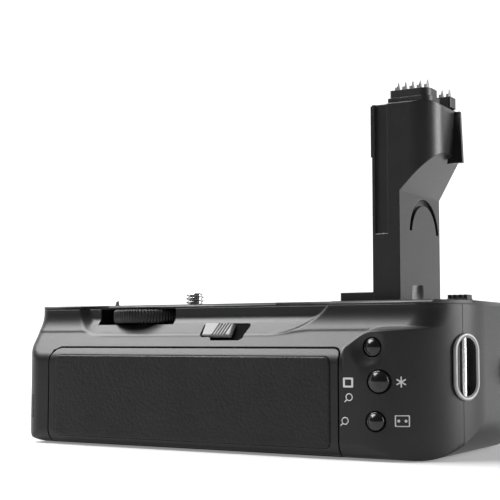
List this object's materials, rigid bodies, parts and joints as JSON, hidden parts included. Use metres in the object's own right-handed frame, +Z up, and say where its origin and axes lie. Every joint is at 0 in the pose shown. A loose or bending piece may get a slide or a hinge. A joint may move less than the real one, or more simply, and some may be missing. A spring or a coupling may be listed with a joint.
{
  "type": "camera battery grip",
  "caption": "Vertical battery grip for a camera body, with pull-out battery magazine, thumbwheel camera screw, contact column, controls and strap bracket.",
  "frame": {"origin": "mouth of the tripod socket on the underside, on the camera screw's axis", "axes": "+X to the right seen from the rear, +Y towards the lens side, +Z up to the camera"},
  "size_m": [0.1538, 0.0748, 0.1131],
  "materials": {
    "black_shell": "fine moulded grain, satin black",
    "base_black": "smooth moulded black",
    "column_black": "smooth satin black",
    "tray_black": "plain moulded black",
    "knob_black": "satin black",
    "dark_insert": "plain black",
    "gloss_black": "glossy black",
    "black_rubber": "leather-grained black rubber",
    "bright_steel": "bright steel",
    "dark_screw": "blackened steel",
    "satin_silver": "satin silver",
    "gold_contact": "gold plated",
    "brass_insert": "turned brass",
    "circuit_board": "green solder mask"
  },
  "bodies": {
    "housing": {"main_housing": "black_shell", "rear_cover": "black_shell", "top_plate": "black_shell", "base_plate": "base_black", "tripod_bush": "bright_steel", "base_screws": "dark_screw", "front_grip_rubber": "black_rubber", "locating_pin": "bright_steel", "gear_plate": "bright_steel", "wheel_axle": "bright_steel", "column_body": "column_black", "column_flange": "column_black", "column_screws": "dark_screw", "contact_block_main": "dark_insert", "contact_block_side": "dark_insert", "door_clip": "dark_insert", "main_board": "circuit_board", "tact_switches": "dark_insert", "switch_base": "dark_insert", "power_contacts": "gold_contact", "spindle_bush": "brass_insert", "dial_axle": "bright_steel", "strap_bracket": "bright_steel", "strap_bar": "bright_steel"},
    "thumbwheel": {"thumbwheel": "dark_insert"},
    "camera_screw": {"camera_screw": "bright_steel", "screw_gear": "brass_insert"},
    "power_slider": {"power_slider": "satin_silver"},
    "button_upper": {"button_upper": "gloss_black"},
    "button_middle": {"button_middle": "gloss_black"},
    "button_lower": {"button_lower": "gloss_black"},
    "shutter_button": {"shutter_button": "gloss_black"},
    "main_dial": {"main_dial": "dark_insert"},
    "magazine": {"magazine_panel": "black_shell", "magazine_rubber": "black_rubber", "magazine_tray": "tray_black", "magazine_contacts": "gold_contact", "pack_terminals": "gold_contact"},
    "release_knob": {"release_knob": "knob_black", "latch_spindle": "bright_steel", "latch_cam": "bright_steel"},
    "contact_fins_main": {"contact_fins_main": "satin_silver"},
    "contact_fins_side": {"contact_fins_side": "satin_silver"},
    "cord_port_cover": {"cord_port_cover": "black_rubber"}
  },
  "joints": [
    {"name": "wheel_spin", "type": "hinge", "parent": "housing", "child": "thumbwheel", "pos_m": [-0.00771, -0.01582, 0.041], "axis": [0, 0, 1], "continuous": true},
    {"name": "screw_spin", "type": "hinge", "parent": "housing", "child": "camera_screw", "pos_m": [0, 0, 0.041], "axis": [0, 0, 1], "continuous": true},
    {"name": "power_slide", "type": "slide", "parent": "housing", "child": "power_slider", "axis": [1, 0, 0], "range_m": [0, 0.004]},
    {"name": "press_upper", "type": "slide", "parent": "housing", "child": "button_upper", "axis": [0, 1, 0], "range_m": [0, 0.0008], "stiffness_N_per_m": 400, "springref_m": -0.0006},
    {"name": "press_middle", "type": "slide", "parent": "housing", "child": "button_middle", "axis": [0, 1, 0], "range_m": [0, 0.0008], "stiffness_N_per_m": 400, "springref_m": -0.0006},
    {"name": "press_lower", "type": "slide", "parent": "housing", "child": "button_lower", "axis": [0, 1, 0], "range_m": [0, 0.0008], "stiffness_N_per_m": 400, "springref_m": -0.0006},
    {"name": "press_shutter", "type": "slide", "parent": "housing", "child": "shutter_button", "axis": [-0.8327, -0.5537, 0], "range_m": [0, 0.0012], "stiffness_N_per_m": 400, "springref_m": -0.0006},
    {"name": "dial_spin", "type": "hinge", "parent": "housing", "child": "main_dial", "pos_m": [0.0965, 0.01394, 0.024], "axis": [0, 1, 0], "continuous": true},
    {"name": "magazine_slide", "type": "slide", "parent": "housing", "child": "magazine", "axis": [0, -1, 0], "range_m": [0, 0.064]},
    {"name": "knob_turn", "type": "hinge", "parent": "housing", "child": "release_knob", "pos_m": [-0.048, 0.002, 0.017], "axis": [1, 0, 0], "range_deg": [0, 90]},
    {"name": "fins_main_press", "type": "slide", "parent": "housing", "child": "contact_fins_main", "axis": [0, 0, -1], "range_m": [0, 0.0012], "stiffness_N_per_m": 400, "springref_m": -0.0006},
    {"name": "fins_side_press", "type": "slide", "parent": "housing", "child": "contact_fins_side", "axis": [0, 0, -1], "range_m": [0, 0.0012], "stiffness_N_per_m": 400, "springref_m": -0.0006},
    {"name": "port_cover_swing", "type": "hinge", "parent": "housing", "child": "cord_port_cover", "pos_m": [-0.047, -0.0185, 0.01175], "axis": [0, 0, -1], "range_deg": [0, 80]}
  ],
  "couplings": [
    {"joint": "screw_spin", "follows": "wheel_spin", "ratio": -0.57143}
  ]
}
